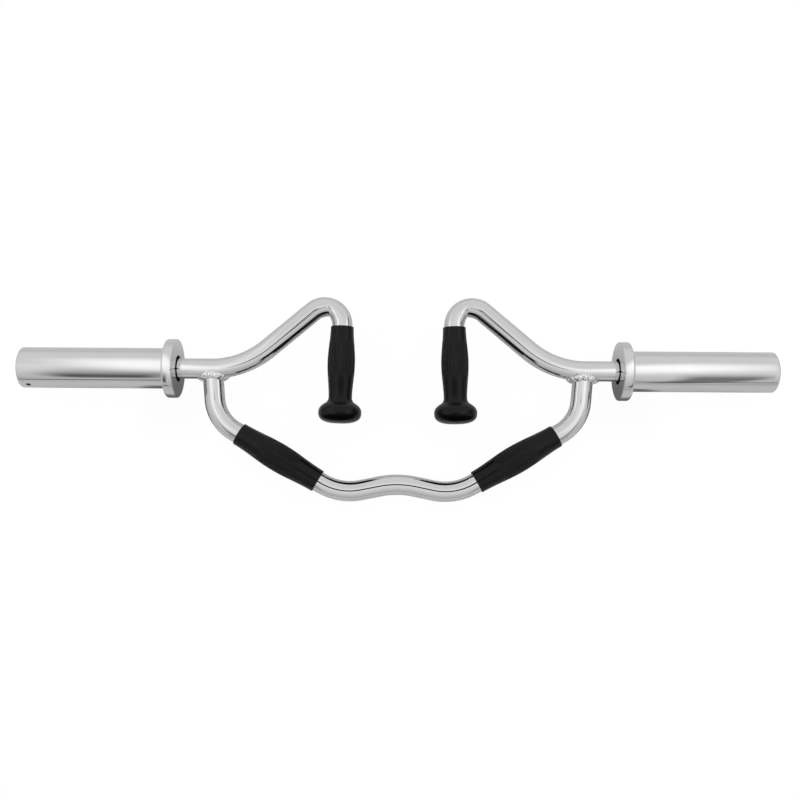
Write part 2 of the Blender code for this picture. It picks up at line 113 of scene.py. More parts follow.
room = bpy.data.worlds.new("room")
bpy.context.scene.world = room
room.use_nodes = True
tree = room.node_tree
tree.nodes.clear()
direction = new_node(tree, "ShaderNodeTexCoord")
split = new_node(tree, "ShaderNodeSeparateXYZ")
height_shade = new_node(tree, "ShaderNodeMapRange", {"To Min": ROOM_HORIZON, "To Max": ROOM_OVERHEAD})
shade = new_node(tree, "ShaderNodeMath", {1: ROOM_BEHIND}, operation="MULTIPLY_ADD")
seen = new_node(tree, "ShaderNodeLightPath")
choice = new_node(tree, "ShaderNodeMix", {"B": FLOOR_WHITE})
walls = new_node(tree, "ShaderNodeBackground", {"Color": (1, 1, 1, 1)})
output = new_node(tree, "ShaderNodeOutputWorld")
wire(
    tree,
    (direction, "Generated", split, 0),
    (split, "Z", height_shade, "Value"),
    (split, "Y", shade, 0),
    (height_shade, "Result", shade, 2),
    (shade, 0, choice, "A"),
    (seen, "Is Camera Ray", choice, "Factor"),
    (choice, "Result", walls, "Strength"),
    (walls, 0, output, "Surface"),
)

form = bmesh.new()
bmesh.ops.create_grid(form, x_segments=1, y_segments=1, size=FLOOR_SIZE / 2)
bmesh.ops.translate(form, vec=(0, 0, FLOOR_LEVEL), verts=form.verts)
floor = new_object("floor", form)
painted, tree, output = new_material("painted_floor")
seen = new_node(tree, "ShaderNodeLightPath")
white = new_node(tree, "ShaderNodeEmission", {"Strength": FLOOR_WHITE})
shaded = new_node(tree, "ShaderNodeBsdfDiffuse", {"Color": FLOOR_PAINT})
paint = new_node(tree, "ShaderNodeMixShader", {"Fac": FLOOR_SHADOW})
choice = new_node(tree, "ShaderNodeMixShader")
wire(
    tree,
    (white, 0, paint, 1),
    (shaded, 0, paint, 2),
    (seen, "Is Camera Ray", choice, "Fac"),
    (shaded, 0, choice, 1),
    (paint, 0, choice, 2),
    (choice, 0, output, "Surface"),
)
floor.data.materials.append(painted)

# Light cards: only reflections see them. A card's shade runs across it through stops of (place,
# strength), and fades out along it at its two ends. Light ones are the soft boxes and the ceiling
# behind the bar, and dark ones are what chrome shows as lines: the rail that the camera hangs on,
# the camera itself, the light stands, two low gaps between the screens, the foot of the right one,
# the shade on the floor under the collars, and a flag between the arms that shows from one side only.
BOX_STOPS = [(0.0, 0), (0.35, 1), (0.5, 1), (1.0, 0)]
WIDE_STOPS = [(0.0, 0), (0.3, 1), (0.7, 1), (1.0, 0)]
CRISP_STOPS = [(0.0, 0), (0.12, 1), (0.88, 1), (1.0, 0)]


def hang_card(name, middle, across, along, glow, stops, fade, one_sided=False):
    """Hangs a card by its middle, with its half-width across and its half-length along."""
    form = bmesh.new()
    bmesh.ops.create_grid(form, x_segments=1, y_segments=1, size=1, calc_uvs=False)
    card = new_object(name, form)
    across, along = Vector(across), Vector(along)
    stand = Matrix((across, along, across.cross(along).normalized())).transposed().to_4x4()
    card.matrix_world = Matrix.Translation(middle) @ stand
    card.visible_camera = False
    card.visible_shadow = False
    material, tree, output = new_material(name)
    place = new_node(tree, "ShaderNodeTexCoord")
    split = new_node(tree, "ShaderNodeSeparateXYZ")
    width = new_node(tree, "ShaderNodeMapRange", {"From Min": -1, "From Max": 1})
    ramp = new_node(tree, "ShaderNodeValToRGB")
    ramp.color_ramp.interpolation = "EASE"
    for index, (stop, strength) in enumerate(stops):
        point = ramp.color_ramp.elements[index] if index < 2 else ramp.color_ramp.elements.new(stop)
        point.position = stop
        point.color = (strength, strength, strength, 1)
    edge = new_node(tree, "ShaderNodeMath", operation="ABSOLUTE")
    length = new_node(
        tree, "ShaderNodeMapRange", {"From Min": 1, "From Max": 1 - fade}, interpolation_type="SMOOTHSTEP"
    )
    mask = new_node(tree, "ShaderNodeMath", operation="MULTIPLY")
    clear = new_node(tree, "ShaderNodeBsdfTransparent")
    light = new_node(tree, "ShaderNodeEmission", {"Strength": glow})
    mix = new_node(tree, "ShaderNodeMixShader")
    wire(
        tree,
        (place, "Object", split, 0),
        (split, "X", width, "Value"),
        (width, "Result", ramp, "Fac"),
        (split, "Y", edge, 0),
        (edge, 0, length, "Value"),
        (ramp, "Color", mask, 0),
        (length, "Result", mask, 1),
        (mask, 0, mix, "Fac"),
        (clear, 0, mix, 1),
        (light, 0, mix, 2),
    )
    shown = mix
    if one_sided:
        sides = new_node(tree, "ShaderNodeNewGeometry")
        shown = new_node(tree, "ShaderNodeMixShader")
        wire(tree, (sides, "Backfacing", shown, "Fac"), (mix, 0, shown, 1), (clear, 0, shown, 2))
    wire(tree, (shown, 0, output, "Surface"))
    card.data.materials.append(material)


hang_card("ceiling_behind", (0, 1.15, 0.70), (3.5, 0, 0), (0, 1.2, 0), 0.784, WIDE_STOPS, 0.3)
hang_card(
    "left_soft_box", (-0.403, 0.077, 0.35), (-0.146, -0.065, 0), (-0.155, 0.352, 0), 1.29, BOX_STOPS, 1
)
hang_card(
    "right_soft_box", (0.464, 0.063, 0.43), (0.156, -0.124, 0), (0.235, 0.297, 0), 1.34, BOX_STOPS, 1
)
hang_card("camera_rail", (0, -0.168, 0.57), (0, -0.077, 0.092), (0.32, 0, 0), 0.01, CRISP_STOPS, 0.2)
hang_card("camera_back", (0, -0.20, 1.13), (0, 0.13, 0), (0.07, 0, 0), 0.01, CRISP_STOPS, 0.3)
hang_card(
    "left_stand", (-0.667, -0.802, 0.52), (0.165, -0.045, 0), (0.242, 0.881, 0), 0.10, WIDE_STOPS, 1
)
hang_card(
    "right_stand", (0.773, -1.218, 0.42), (0.104, 0.022, 0), (-0.24, 1.156, 0), 0.22, WIDE_STOPS, 0.3
)
hang_card("left_gap", (-0.74, -0.90, 0.15), (0, 0, 0.028), (0.27, 0, 0), 0.03, CRISP_STOPS, 0.2)
hang_card("right_gap", (0.74, -0.90, 0.33), (0, 0, 0.028), (0.27, 0, 0), 0.03, CRISP_STOPS, 0.2)
hang_card("right_screen_foot", (1.3, 0.25, 0.24), (0, 0, 0.24), (0, 0.6, 0), 0.10, WIDE_STOPS, 0.5)
hang_card("left_floor_shade", (-0.285, 0.0, 0.0003), (0.055, 0, 0), (0, 0.06, 0), 0.16, WIDE_STOPS, 0.8)
hang_card("right_floor_shade", (0.285, 0.0, 0.0003), (0.055, 0, 0), (0, 0.06, 0), 0.16, WIDE_STOPS, 0.8)
hang_card(
    "flag", (0, -0.04, 0.066), (0, 0, 0.030), (0.14, 0, 0), 0.005, CRISP_STOPS, 0.15, one_sided=True
)

# Arms: 25 mm round steel bar, bent cold and chrome plated. Each runs out of its collar, up a slope,
# over a tight top and down inside the handle grip. Its outer end is turned down for the bearings,
# and drilled for a bolt.
BAR_RADIUS = 0.0125
BAR_SIDES = 96
BEND_STEP = 0.0016
BEND_STEP_ANGLE = math.radians(2.5)
STRAIGHT_STEP = 0.012
SHARP_ANGLE = math.radians(35)
COLLAR_IN = 0.2718
ARM_CORNER_SETBACK = 0.0803
ARM_CORNER = Vector((COLLAR_IN - ARM_CORNER_SETBACK, 0, 0))
ARM_SLOPE = math.radians(40)
ARM_BEND_RADIUS = 0.110
TOP_BEND_RADIUS = 0.022
HANDLE_SPACING = 0.1409
HANDLE_LEAN = math.radians(1.15)
HANDLE_MOUTH_Y = 0.0536
ARM_IN_HANDLE = 0.1113
SHOULDER_DEPTH = 0.022
SHOULDER = COLLAR_IN + SHOULDER_DEPTH
SPIGOT_RADIUS = 0.010
SPIGOT_EDGE = 0.001
SPIGOT_END = 0.4282
BOLT_HOLE_RADIUS = 0.0063
BOLT_HOLE_FLOOR = 0.4025
BAR_TILT = 0.161092
BAR_MIDDLE = (0, 0.0356841, 0.0363500)
CHROME_LIGHT = (0.767, 0.765, 0.764, 1)
CHROME_DARK = (0.707, 0.705, 0.704, 1)
SIDES = {"left": -1, "right": 1}
laid_down = Matrix.Translation(BAR_MIDDLE) @ Matrix.Rotation(BAR_TILT, 4, "X")


def patchy_effect(name, patch_values, more_inputs):
    """A node group whose colour and roughness drift together in soft patches. Its height is left open."""
    effect = bpy.data.node_groups.new(name, "ShaderNodeTree")
    inputs = {"Light": "Color", "Dark": "Color", "Smooth": "Float", "Dull": "Float", **more_inputs}
    outputs = {"Color": "Color", "Roughness": "Float", "Height": "Float"}
    for direction, sockets in (("INPUT", inputs), ("OUTPUT", outputs)):
        for label, kind in sockets.items():
            effect.interface.new_socket(label, in_out=direction, socket_type="NodeSocket" + kind)
    given, result = new_node(effect, "NodeGroupInput"), new_node(effect, "NodeGroupOutput")
    place = new_node(effect, "ShaderNodeTexCoord")
    patches = new_node(effect, "ShaderNodeTexNoise", patch_values)
    tone = new_node(effect, "ShaderNodeMix", data_type="RGBA")
    gloss = new_node(effect, "ShaderNodeMapRange")
    wire(
        effect,
        (place, "Object", patches, "Vector"),
        (patches, "Fac", tone, "Factor"),
        (given, "Dark", tone, "A"),
        (given, "Light", tone, "B"),
        (patches, "Fac", gloss, "Value"),
        (given, "Smooth", gloss, "To Min"),
        (given, "Dull", gloss, "To Max"),
        (tone, "Result", result, "Color"),
        (gloss, "Result", result, "Roughness"),
    )
    return effect, given, result, place, patches


def finish_with(name, effect, values, bump, shader_values):
    """A material from an effect's colour, roughness and relief. Its bump is a strength and a height."""
    material, tree, output = new_material(name)
    finish = new_node(tree, "ShaderNodeGroup", node_tree=effect, values=values)
    relief = new_node(tree, "ShaderNodeBump", {"Strength": bump[0], "Distance": bump[1]})
    shader = new_node(tree, "ShaderNodeBsdfPrincipled", shader_values)
    wire(
        tree,
        (finish, "Color", shader, "Base Color"),
        (finish, "Roughness", shader, "Roughness"),
        (finish, "Height", relief, "Height"),
        (relief, "Normal", shader, "Normal"),
        (shader, 0, output, "Surface"),
    )
    return material


# The plate follows the polished steel: faint cloudy patches, and a fine grain left by the wheel.
plating, given, result, place, patches = patchy_effect(
    "plating", {"Detail": 4.0, "Roughness": 0.6}, {"Cloud Size": "Float", "Grain Size": "Float"}
)
grain = new_node(plating, "ShaderNodeTexNoise", {"Detail": 2.0, "Roughness": 0.5})
wire(
    plating,
    (given, "Cloud Size", patches, "Scale"),
    (place, "Object", grain, "Vector"),
    (given, "Grain Size", grain, "Scale"),
    (grain, "Fac", result, "Height"),
)
bar_chrome = finish_with(
    "bar_chrome",
    plating,
    {
        "Light": CHROME_LIGHT,
        "Dark": CHROME_DARK,
        "Smooth": 0.012,
        "Dull": 0.035,
        "Cloud Size": 30,
        "Grain Size": 900,
    },
    (0.012, 0.0001),
    {"Metallic": 1.0},
)


def turned_to(direction):
    """The turn in the bar's plane that takes X to a direction."""
    return Matrix.Rotation(math.atan2(direction.y, direction.x), 4, "Z")


def meeting(start, direction, other_start, other_direction):
    """Where two lines in the bar's plane cross."""
    across = Vector((-other_direction.y, other_direction.x, 0))
    return start + direction * (other_start - start).dot(across) / direction.dot(across)


def corners_of(ring):
    """The corners of a ring of edges, each one once."""
    return list(dict.fromkeys(vert for edge in ring for vert in edge.verts))


def drawn_out(form, ring, move):
    """Draws a ring of edges out into a wall, and moves the new ring."""
    made = bmesh.ops.extrude_edge_only(form, edges=ring)["geom"]
    corners = [part for part in made if isinstance(part, bmesh.types.BMVert)]
    bmesh.ops.transform(form, matrix=move, verts=corners)
    return [part for part in made if isinstance(part, bmesh.types.BMEdge)]


def bend_bar(form, ring, route, radii):
    """Draws a bar on from its ring: straight to each corner of the route, and round it at its radius."""
    place = route[0]
    for corner, after, radius in zip(route[1:], route[2:] + [None], radii + [0]):
        ahead = (corner - place).normalized()
        onward = (after - corner).normalized() if after else ahead
        turn = ahead.angle(onward)
        setback = radius * math.tan(turn / 2)
        reach = (corner - place).length - setback
        count = math.ceil(reach / STRAIGHT_STEP)
        for _ in range(count):
            ring = drawn_out(form, ring, Matrix.Translation(ahead * reach / count))
        if after:
            axis = ahead.cross(onward).normalized()
            bent = bmesh.ops.spin(
                form,
                geom=ring + corners_of(ring),
                cent=corner - ahead * setback + axis.cross(ahead) * radius,
                axis=axis,
                angle=turn,
                steps=math.ceil(max(turn / BEND_STEP_ANGLE, turn * radius / BEND_STEP)),
                use_merge=False,
                use_duplicate=False,
            )
            ring = [part for part in bent["geom_last"] if isinstance(part, bmesh.types.BMEdge)]
            place = corner + onward * setback
    return ring


def lay_down(form, side):
    """Mirrors a form to its side, and lays it down as the bar rests."""
    bmesh.ops.transform(form, matrix=laid_down @ Matrix.Diagonal((side, 1, 1, 1)), verts=form.verts)
    bmesh.ops.recalc_face_normals(form, faces=form.faces)


def hand_in(form, name, side, body, material, node):
    """Lays a form down on its side, and lets the piece ride on its body in its node's place."""
    lay_down(form, side)
    piece = new_object(name, form)
    piece.data.shade_smooth()
    piece.data.set_sharp_from_angle(angle=SHARP_ANGLE)
    piece.data.materials.append(material)
    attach(piece, body)
    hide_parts(node)
    return piece


handle_down = Vector((math.sin(HANDLE_LEAN), -math.cos(HANDLE_LEAN), 0))
handle_mouth = meeting(
    Vector((HANDLE_SPACING / 2, 0, 0)), handle_down, Vector((0, HANDLE_MOUTH_Y, 0)), Vector((1, 0, 0))
)
slope = Vector((-math.cos(ARM_SLOPE), math.sin(ARM_SLOPE), 0))
arm_route = [
    Vector((SHOULDER, 0, 0)),
    ARM_CORNER,
    meeting(ARM_CORNER, slope, handle_mouth, handle_down),
    handle_mouth + handle_down * ARM_IN_HANDLE,
]
turned_end = [
    (BOLT_HOLE_FLOOR, BOLT_HOLE_RADIUS),
    (SPIGOT_END, BOLT_HOLE_RADIUS),
    (SPIGOT_END, SPIGOT_RADIUS - SPIGOT_EDGE),
    (SPIGOT_END - SPIGOT_EDGE, SPIGOT_RADIUS),
    (SHOULDER, SPIGOT_RADIUS),
    (SHOULDER, BAR_RADIUS),
]
# The tight bend at the top folds the bar's inner side in: steep in front, with a long bank behind.
# Inward counts from 0 on the bar's middle line to 1 at its inner edge, and turns are about the bend.
FOLD_DEPTH = 0.0028
FOLD_GROWTH = 1.5
FOLD_TURN = math.radians(51)
FOLD_LEAN = math.radians(17)
FOLD_REACH = math.radians(50)
FOLD_EDGE = math.radians(2)
BANK_DEPTH = 0.0020
BANK_TOP = -0.45
BANK_DEEPEST = 0.25
BANK_FALL = 1.3
BANK_REACH = math.radians(34)
FRONT_REACH = math.radians(5)
INNER_EDGE = 1.01
facing_x = Matrix.Rotation(math.pi / 2, 4, "Y")
slope_in = Vector((-slope.y, slope.x, 0))
top_turn = slope.angle(handle_down)
top_middle = arm_route[2] - slope * TOP_BEND_RADIUS * math.tan(top_turn / 2) + slope_in * TOP_BEND_RADIUS
fold_turn = math.atan2(-slope_in.y, -slope_in.x) + FOLD_TURN
for name, side in SIDES.items():
    form = bmesh.new()
    bmesh.ops.create_circle(
        form,
        cap_ends=True,
        segments=BAR_SIDES,
        radius=BOLT_HOLE_RADIUS,
        matrix=Matrix.Translation((BOLT_HOLE_FLOOR, 0, 0)) @ facing_x,
    )
    ring = form.edges[:]
    for (place, radius), (next_place, next_radius) in zip(turned_end, turned_end[1:]):
        share = next_radius / radius
        move = Matrix.Translation((next_place - place, 0, 0)) @ Matrix.Diagonal((1, share, share, 1))
        ring = drawn_out(form, ring, move)
    ring = bend_bar(form, ring, arm_route, [ARM_BEND_RADIUS, TOP_BEND_RADIUS])
    bmesh.ops.edgeloop_fill(form, edges=ring)
    for vert in form.verts:
        spoke = (vert.co - top_middle) * Vector((1, 1, 0))
        inward = (TOP_BEND_RADIUS - spoke.length) / BAR_RADIUS
        turn = math.remainder(math.atan2(spoke.y, spoke.x) - fold_turn - FOLD_LEAN * inward, math.tau)
        share = 1 - math.hypot(turn, FOLD_EDGE) / FOLD_REACH
        if BANK_TOP < inward <= INNER_EDGE and share > 0:
            depth = FOLD_DEPTH * max(0, inward) ** FOLD_GROWTH * share**2
            bank = 1 - math.hypot(turn, FOLD_EDGE) / (BANK_REACH if turn > 0 else FRONT_REACH)
            if bank > 0:
                rise = min(1, (inward - BANK_TOP) / (BANK_DEEPEST - BANK_TOP))
                fall = min(1, max(0, 1 - inward) / (1 - BANK_DEEPEST))
                depth += BANK_DEPTH * bank**BANK_FALL * math.sin(math.pi / 2 * rise) ** 2 * fall
            spine = top_middle + spoke.normalized() * TOP_BEND_RADIUS
            vert.co -= (vert.co - spine).normalized() * depth
    hand_in(form, f"{name}_arm_bar", side, "frame", bar_chrome, f"{name}_arm")

# Curl bar: the same bar, bent five times from arm to arm: down a leg, along a slope, round a low
# bend, over a hump, and back up. Its ends are coped to sit on the arms.
LEG_CORNER_SETBACK = 0.0481
LEG_CORNER_DROP = 0.0636
LEG_CORNER = Vector((COLLAR_IN - LEG_CORNER_SETBACK, -LEG_CORNER_DROP, 0))
LEG_LEAN = math.radians(5)
LEG_BEND_RADIUS = 0.050
LEG_COPE_DROP = 0.0185
CURL_SLOPE = math.radians(30.5)
LOW_CORNER_SPACING = 0.1416
LOW_BEND_RADIUS = 0.070
HUMP_SLOPE = math.radians(11.5)
HUMP_BEND_RADIUS = 0.110
BAR_FIT = 0.0003


def mirrored(points):
    """The same points on the other side."""
    return [Vector((-point.x, point.y, point.z)) for point in points]


def saddle(around, offset, inset):
    """A point around the leg where its surface, moved out by an offset, meets the arm's."""
    sideways = (BAR_RADIUS + offset) * math.cos(around)
    height = (BAR_RADIUS - inset) * math.sin(around)
    drop = math.sqrt((BAR_RADIUS + BAR_FIT) ** 2 - height**2) + sideways * leg_across.dot(arm_up)
    return joint + leg_across * sideways + Vector((0, 0, height)) - leg_up * drop / leg_up.dot(arm_up)


leg_up = Vector((math.sin(LEG_LEAN), math.cos(LEG_LEAN), 0))
leg_across = Vector((leg_up.y, -leg_up.x, 0))
joint = meeting(LEG_CORNER, leg_up, Vector((0, 0, 0)), Vector((1, 0, 0)))
bend_start = ARM_CORNER.x + ARM_BEND_RADIUS * math.tan(ARM_SLOPE / 2)
arm_rise = math.asin((bend_start - joint.x) / ARM_BEND_RADIUS)
arm_up = Vector((math.sin(arm_rise), math.cos(arm_rise), 0))
low_corner = LEG_CORNER - Vector((1, math.tan(CURL_SLOPE), 0)) * (LEG_CORNER.x - LOW_CORNER_SPACING / 2)
hump = Vector((0, low_corner.y + low_corner.x * math.tan(HUMP_SLOPE), 0))
half_route = [low_corner, LEG_CORNER, joint - leg_up * LEG_COPE_DROP]
form = bmesh.new()
start = mirrored(half_route)[-1]
facing_down = turned_to(Vector((leg_up.x, -leg_up.y, 0))) @ facing_x
bmesh.ops.create_circle(
    form, segments=BAR_SIDES, radius=BAR_RADIUS, matrix=Matrix.Translation(start) @ facing_down
)
first_ring = form.edges[:]
last_ring = bend_bar(
    form,
    first_ring,
    [*reversed(mirrored(half_route)), hump, *half_route],
    [LEG_BEND_RADIUS, LOW_BEND_RADIUS, HUMP_BEND_RADIUS, LOW_BEND_RADIUS, LEG_BEND_RADIUS],
)
for ring, side in ((first_ring, -1), (last_ring, 1)):
    coped = drawn_out(form, ring, Matrix.Identity(4))
    for vert in corners_of(coped):
        spoke = Vector((vert.co.x * side, vert.co.y, vert.co.z)) - half_route[-1]
        seat = saddle(math.atan2(spoke.z, spoke.dot(leg_across)), 0, 0)
        vert.co = (seat.x * side, seat.y, seat.z)
    bmesh.ops.edgeloop_fill(form, edges=coped)
hand_in(form, "curl_bar_rod", 1, "frame", bar_chrome, "curl_bar")

# Weld beads: a run of overlapping puddles round each leg where it meets the arm, plated over with
# the bar. The bead is thin at its toes, under the arm, and fat at its cheeks, beside it.
BEAD_STEPS = 320
BEAD_SECTION = 40
TOE_RADIUS = 0.0038
CHEEK_RADIUS = 0.0056
TOE_OFFSET = 0.0018
CHEEK_INSET = 0.0021
TOE_REACH = 1.35
TOE_PINCH = 0.45
TOE_RISE = 0.0014
PUDDLES = 13
PUDDLE_DEPTH = 0.30
PUDDLE_LEVEL = 0.8
PUDDLE_SWEEP = 1.5
PUDDLE_SWEEP_TURN = 0.6
PUDDLE_WANDER = 0.35
WANDER_SIZE = 3
SPATTER = 0.0011
SPATTER_SIZE = 150
SPATTER_SEED = 1795689439
# Painted highlight: the weld's plate is given a lighter tone than the bar's, so the bead shines brighter
# than the same chrome would.
weld_chrome = finish_with(
    "weld_chrome",
    plating,
    {
        "Light": (0.92, 0.92, 0.92, 1),
        "Dark": (0.80, 0.80, 0.80, 1),
        "Smooth": 0.04,
        "Dull": 0.10,
        "Cloud Size": 180,
        "Grain Size": 900,
    },
    (0.05, 0.0002),
    {"Metallic": 1.0},
)
# The bead starts as a plain ring, whose corners give their turns around the leg and around its section.
# The seed keeps the spatter the same on every run. Without it, the noise follows the clock.
noise.seed_set(SPATTER_SEED)
for name, side in SIDES.items():
    form = bmesh.new()
    bmesh.ops.create_circle(
        form,
        segments=BEAD_SECTION,
        radius=0.5,
        matrix=Matrix.Translation((1, 0, 0)) @ Matrix.Rotation(math.pi / 2, 4, "X"),
    )
    bmesh.ops.spin(
        form,
        geom=form.verts[:] + form.edges[:],
        cent=(0, 0, 0),
        axis=(0, 0, 1),
        angle=math.tau,
        steps=BEAD_STEPS,
        use_merge=True,
        use_duplicate=False,
    )
    for vert in form.verts:
        around = math.atan2(vert.co.y, vert.co.x)
        section = math.atan2(vert.co.z, math.hypot(vert.co.x, vert.co.y) - 1)
        fat = math.sin(around) ** 2
        radius = TOE_RADIUS * (1 - fat) + CHEEK_RADIUS * fat
        round_leg = Vector((math.cos(around), math.sin(around), side))
        wander = PUDDLE_WANDER * noise.noise(round_leg * WANDER_SIZE)
        sweep = PUDDLE_SWEEP * math.cos(section + PUDDLE_SWEEP_TURN)
        puddle = abs(math.sin((around + wander) * PUDDLES / 2 + sweep))
        radius *= 1 + PUDDLE_DEPTH * (math.sqrt(puddle) - PUDDLE_LEVEL)
        outward = leg_across * math.cos(around) + Vector((0, 0, math.sin(around)))
        tip = abs(math.cos(around)) * max(0, math.cos(section))
        spoke = outward * math.cos(section) * (1 + (TOE_REACH - 1) * tip)
        spoke += leg_up * math.sin(section) * (1 - TOE_PINCH * tip)
        vert.co = saddle(around, TOE_OFFSET, CHEEK_INSET) + spoke * radius + leg_up * TOE_RISE * (1 - fat)
        vert.co += noise.noise_vector(vert.co * SPATTER_SIZE + Vector((side, 0, 0))) * SPATTER
    hand_in(form, f"{name}_weld_bead", side, "frame", weld_chrome, f"{name}_weld")

# Handle grips: black rubber moulded on the arms' ends, with a belly, lengthwise flutes for the
# palm, and a round knob at the foot. Places are counted down from the mouth.
GRIP_SIDES = 280
GRIP_STEP = 0.0015
GRIP_FLUTES = 28
FLUTE_DEPTH = 0.0007
FLUTE_NARROWNESS = 2
FLUTE_FADE = 0.012
HANDLE_GRIP_LENGTH = 0.1203
HANDLE_MOUTH_WALL = 0.0014
HANDLE_BELLY_PLACE = 0.0455
HANDLE_BELLY_WALL = 0.0042
HANDLE_NECK_PLACE = 0.090
HANDLE_NECK_WALL = 0.0016
HANDLE_FLUTES = (0.014, 0.066)
KNOB_PLACE = 0.1066
KNOB_RADIUS = 0.0266
KNOB_RISE = 0.0146
KNOB_SHOULDER = 2.2
KNOB_SOLE = 2.7
KNOB_FILLET = 0.003
KNOB_CURL_START = 0.0186
KNOB_CURL = 62
KNOB_STEPS = 26
MOUTH_EDGE = 0.0016
MOUTH_ROUNDING = 0.9
HANDLE_BORE_FLOOR = 0.1116
MERGE = 0.000001
ON_CORNER = 0.00001
ROUNDING_STEPS = 5
BAR_ROOM = BAR_RADIUS + BAR_FIT

rubber_skin, given, result, place, patches = patchy_effect(
    "rubber_skin", {"Detail": 3.0}, {"Cloud Size": "Float", "Grain Size": "Float"}
)
grain = new_node(rubber_skin, "ShaderNodeTexVoronoi", feature="SMOOTH_F1")
wire(
    rubber_skin,
    (given, "Cloud Size", patches, "Scale"),
    (place, "Object", grain, "Vector"),
    (given, "Grain Size", grain, "Scale"),
    (grain, "Distance", result, "Height"),
)
rubber = finish_with(
    "rubber",
    rubber_skin,
    {
        "Light": (0.0052, 0.0052, 0.0052, 1),
        "Dark": (0.0040, 0.0040, 0.0040, 1),
        "Smooth": 0.18,
        "Dull": 0.27,
        "Cloud Size": 45,
        "Grain Size": 1100,
    },
    (0.015, 0.0002),
    {"Specular IOR Level": 0.21},
)


def turned(outline, sides, closed, rounded=()):
    """A form turned about X from (place, radius) points, with the corners at some points rounded."""
    form = bmesh.new()
    points = [form.verts.new((place, 0, radius)) for place, radius in outline]
    for first, last in zip(points, points[1:] + (points[:1] if closed else [])):
        form.edges.new((first, last))
    bmesh.ops.spin(
        form,
        geom=form.verts[:] + form.edges[:],
        cent=(0, 0, 0),
        axis=(1, 0, 0),
        angle=math.tau,
        steps=sides,
        use_merge=True,
        use_duplicate=False,
    )
    bmesh.ops.remove_doubles(form, verts=form.verts, dist=MERGE)
    for index, radius in rounded:
        corner = Vector(outline[index])
        near = {
            vert
            for vert in form.verts
            if (Vector((vert.co.x, vert.co.yz.length)) - corner).length < ON_CORNER
        }
        bmesh.ops.bevel(
            form,
            geom=[edge for edge in form.edges if near.issuperset(edge.verts)],
            offset=radius,
            segments=ROUNDING_STEPS,
            profile=0.5,
            affect="EDGES",
            material=-1,
        )
    bmesh.ops.recalc_face_normals(form, faces=form.faces)
    return form


def spaced(start, end, step):
    """Places from start to end, no further apart than the step."""
    count = math.ceil(abs(end - start) / step)
    return [start + (end - start) * index / count for index in range(count + 1)]


def eased(share):
    """0 to 1 with a level start and end, and level beyond."""
    return (1 - math.cos(math.pi * min(max(share, 0), 1))) / 2


def belly(share, low_wall, high_wall):
    """The outer radius part of the way from one wall to the other."""
    return BAR_ROOM + low_wall + (high_wall - low_wall) * eased(share)


def handle_radius(place):
    """The grip's outer radius: mouth, belly and neck, which curls out into the knob."""
    if place < HANDLE_BELLY_PLACE:
        shaft = belly(place / HANDLE_BELLY_PLACE, HANDLE_MOUTH_WALL, HANDLE_BELLY_WALL)
    else:
        share = (place - HANDLE_BELLY_PLACE) / (HANDLE_NECK_PLACE - HANDLE_BELLY_PLACE)
        shaft = belly(share, HANDLE_BELLY_WALL, HANDLE_NECK_WALL)
    reach = KNOB_RISE if place < KNOB_PLACE else HANDLE_GRIP_LENGTH - KNOB_PLACE
    squareness = KNOB_SHOULDER if place < KNOB_PLACE else KNOB_SOLE
    share = min(1, abs(place - KNOB_PLACE) / reach)
    knob = KNOB_RADIUS * (1 - share**squareness) ** (1 / squareness)
    if place > KNOB_PLACE:
        return knob
    shaft += KNOB_CURL * max(0, min(place - KNOB_PLACE + KNOB_CURL_START, KNOB_CURL_START / 2)) ** 2
    overlap = max(0, KNOB_FILLET - abs(shaft - knob))
    return max(shaft, knob) + overlap**2 / (4 * KNOB_FILLET)


def cut_flutes(form, start, end):
    """Presses narrow grooves along a grip that lies on X, which taper out towards their ends."""
    for vert in form.verts:
        place, radius = vert.co.x, vert.co.yz.length
        if start < place < end and radius > BAR_ROOM + HANDLE_MOUTH_WALL / 2:
            strength = eased((place - start) / FLUTE_FADE) * eased((end - place) / FLUTE_FADE)
            around = math.atan2(vert.co.y, vert.co.z)
            groove = (0.5 + 0.5 * math.cos(GRIP_FLUTES * around)) ** FLUTE_NARROWNESS
            vert.co.yz *= 1 - FLUTE_DEPTH * groove * strength / radius


knob_start = KNOB_PLACE - KNOB_CURL_START
sweeps = [math.pi / 2 * index / KNOB_STEPS for index in range(KNOB_STEPS + 1)]
places = spaced(MOUTH_EDGE, knob_start, GRIP_STEP)[:-1]
places += [KNOB_PLACE - KNOB_CURL_START * math.cos(sweep) for sweep in sweeps]
places += [KNOB_PLACE + (HANDLE_GRIP_LENGTH - KNOB_PLACE) * math.sin(sweep) for sweep in sweeps[1:-1]]
handle_outline = [
    (HANDLE_BORE_FLOOR, 0),
    (HANDLE_BORE_FLOOR, BAR_ROOM),
    (0, BAR_ROOM),
    (0, BAR_ROOM + HANDLE_MOUTH_WALL),
    *[(place, handle_radius(place)) for place in places],
    (HANDLE_GRIP_LENGTH, 0),
]
for name, side in SIDES.items():
    form = turned(handle_outline, GRIP_SIDES, False, [(3, HANDLE_MOUTH_WALL * MOUTH_ROUNDING)])
    cut_flutes(form, *HANDLE_FLUTES)
    fitted = Matrix.Translation(handle_mouth) @ turned_to(handle_down)
    bmesh.ops.transform(form, matrix=fitted, verts=form.verts)
    hand_in(form, f"{name}_handle_rubber", side, "frame", rubber, f"{name}_handle_grip")

